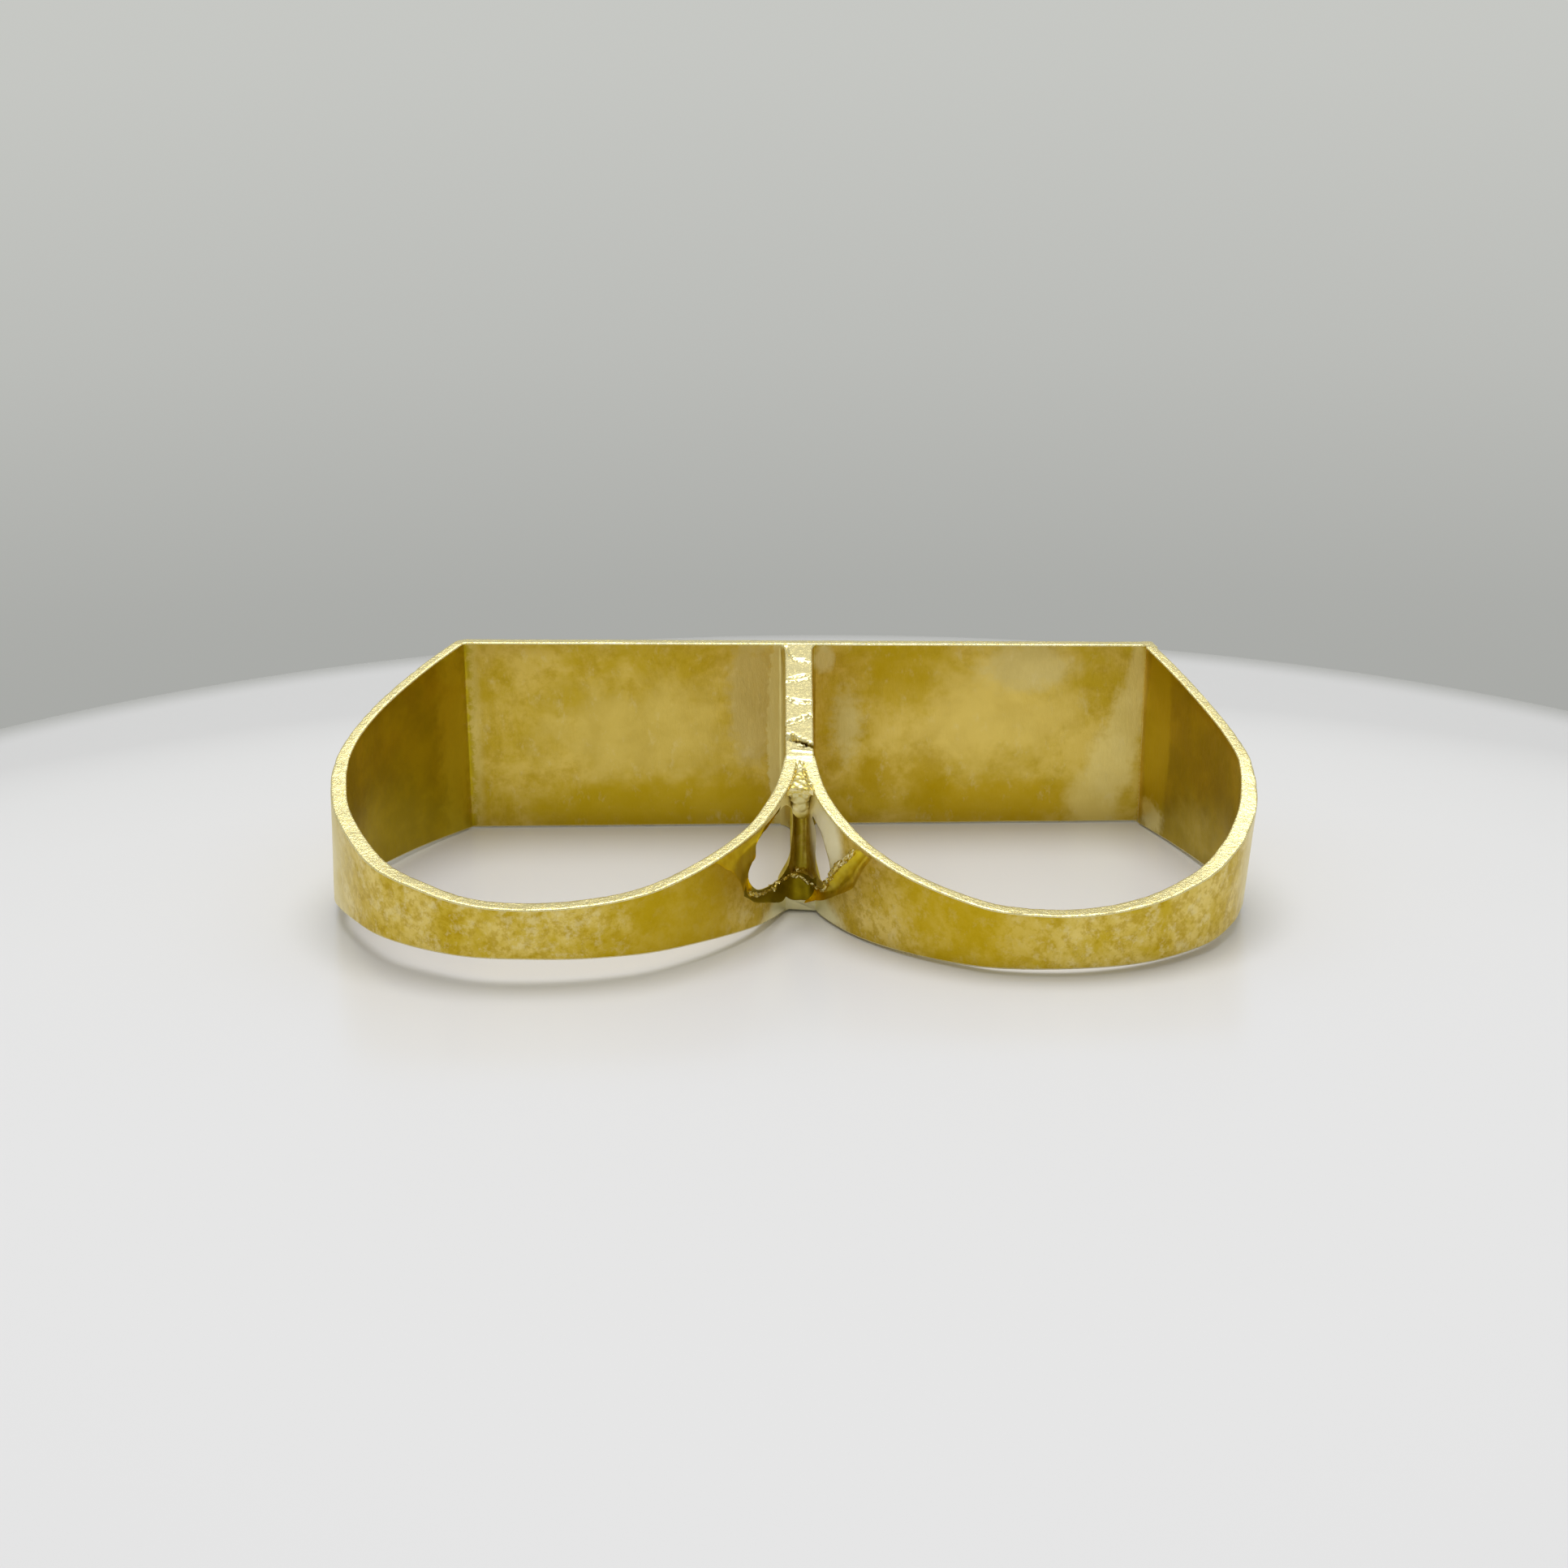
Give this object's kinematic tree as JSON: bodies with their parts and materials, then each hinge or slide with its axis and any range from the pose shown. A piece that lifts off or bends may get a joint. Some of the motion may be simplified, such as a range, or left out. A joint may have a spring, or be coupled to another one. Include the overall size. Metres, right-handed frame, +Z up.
{
  "type": "two finger ring",
  "caption": "Two finger ring of soldered sheet gold: a straight front plate, bent side panels, a divider and two shanks that taper to the palm, lying on its side.",
  "frame": {"origin": "middle of the ring's box on the table it lies on", "axes": "+X across the two fingers towards the right shank, +Y from the palm to the front plate, +Z up from the table, about 7 degrees off the way the fingers point"},
  "size_m": [0.0374, 0.02, 0.0088],
  "materials": {
    "gold": "filed yellow gold, matt and clouded on the faces, bright on the edges"
  },
  "bodies": {
    "root": {"ring": "gold"}
  },
  "joints": []
}
